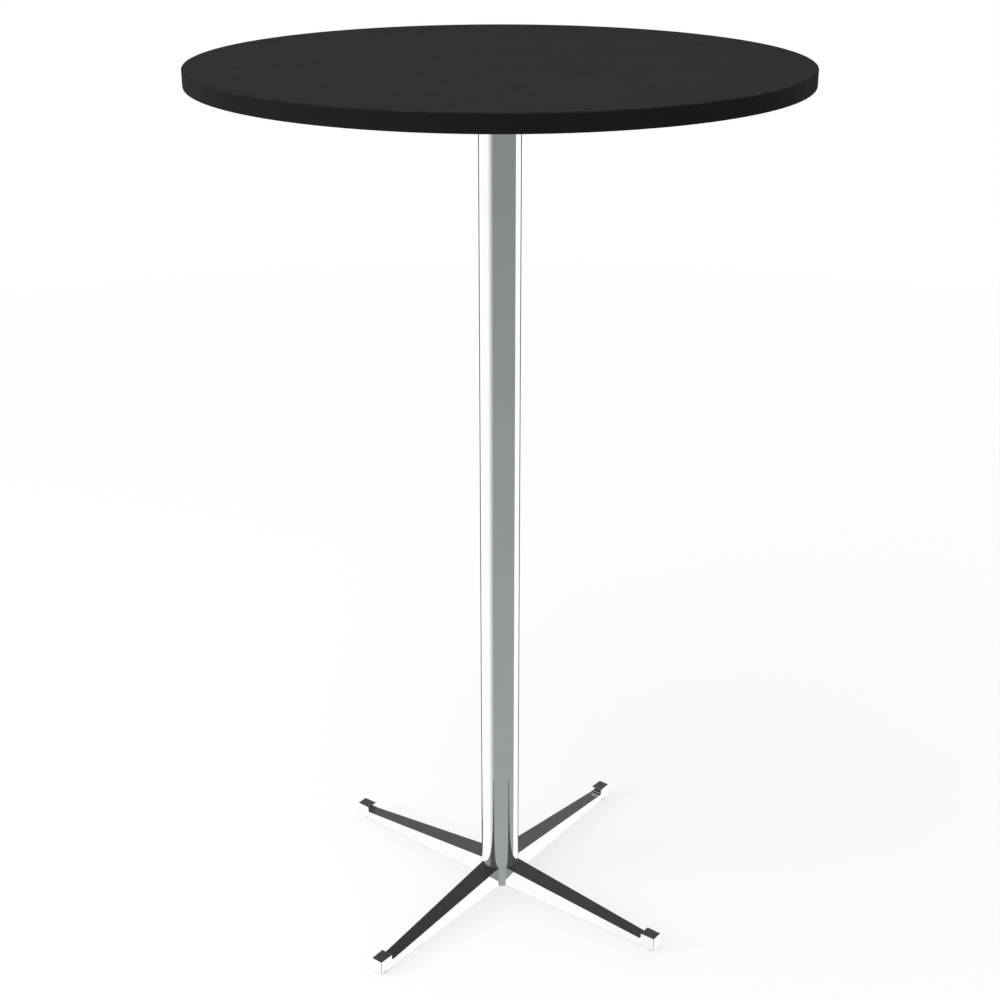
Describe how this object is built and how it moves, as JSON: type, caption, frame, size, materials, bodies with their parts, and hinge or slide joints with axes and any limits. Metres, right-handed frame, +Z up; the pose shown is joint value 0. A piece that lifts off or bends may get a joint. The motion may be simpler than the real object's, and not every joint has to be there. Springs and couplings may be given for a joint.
{
  "type": "bar table",
  "caption": "Tall round bar table: a thin black laminated board on a slim chromed column with a tapered star base and levelling glides.",
  "frame": {"origin": "on the floor under the column's axis", "axes": "+Z up, legs along the diagonals between X and Y, front towards -Y"},
  "size_m": [0.6999, 0.7, 1.1],
  "materials": {
    "board_core": "raw pressed fibre board",
    "black_laminate": "fine matt high-pressure laminate",
    "black_backing": "plain balancing laminate",
    "black_edge": "satin plastic edging",
    "spider_black": "black powder coat on cast iron",
    "zinc_steel": "bright zinc plating",
    "chrome": "polished bright chrome",
    "nylon": "natural moulded nylon"
  },
  "bodies": {
    "table": {"top_core": "board_core", "backing_laminate": "black_backing", "top_laminate": "black_laminate", "edge_band": "black_edge", "top_spider": "spider_black", "top_screws": "zinc_steel", "column_tube": "chrome", "base_hub": "chrome", "tie_rod": "zinc_steel", "upper_washer": "zinc_steel", "upper_nut": "zinc_steel", "lower_washer": "zinc_steel", "lower_nut": "zinc_steel", "leg_front_left": "chrome", "leg_front_right": "chrome", "leg_back_right": "chrome", "leg_back_left": "chrome"},
    "glide_front_left": {"glide_pad_front_left": "nylon", "glide_screw_front_left": "zinc_steel"},
    "glide_front_right": {"glide_pad_front_right": "nylon", "glide_screw_front_right": "zinc_steel"},
    "glide_back_right": {"glide_pad_back_right": "nylon", "glide_screw_back_right": "zinc_steel"},
    "glide_back_left": {"glide_pad_back_left": "nylon", "glide_screw_back_left": "zinc_steel"}
  },
  "joints": [
    {"name": "glide_front_left_lift", "type": "slide", "parent": "table", "child": "glide_front_left", "axis": [0, 0, -1], "range_m": [0, 0.006]},
    {"name": "glide_front_right_lift", "type": "slide", "parent": "table", "child": "glide_front_right", "axis": [0, 0, -1], "range_m": [0, 0.006]},
    {"name": "glide_back_right_lift", "type": "slide", "parent": "table", "child": "glide_back_right", "axis": [0, 0, -1], "range_m": [0, 0.006]},
    {"name": "glide_back_left_lift", "type": "slide", "parent": "table", "child": "glide_back_left", "axis": [0, 0, -1], "range_m": [0, 0.006]}
  ]
}
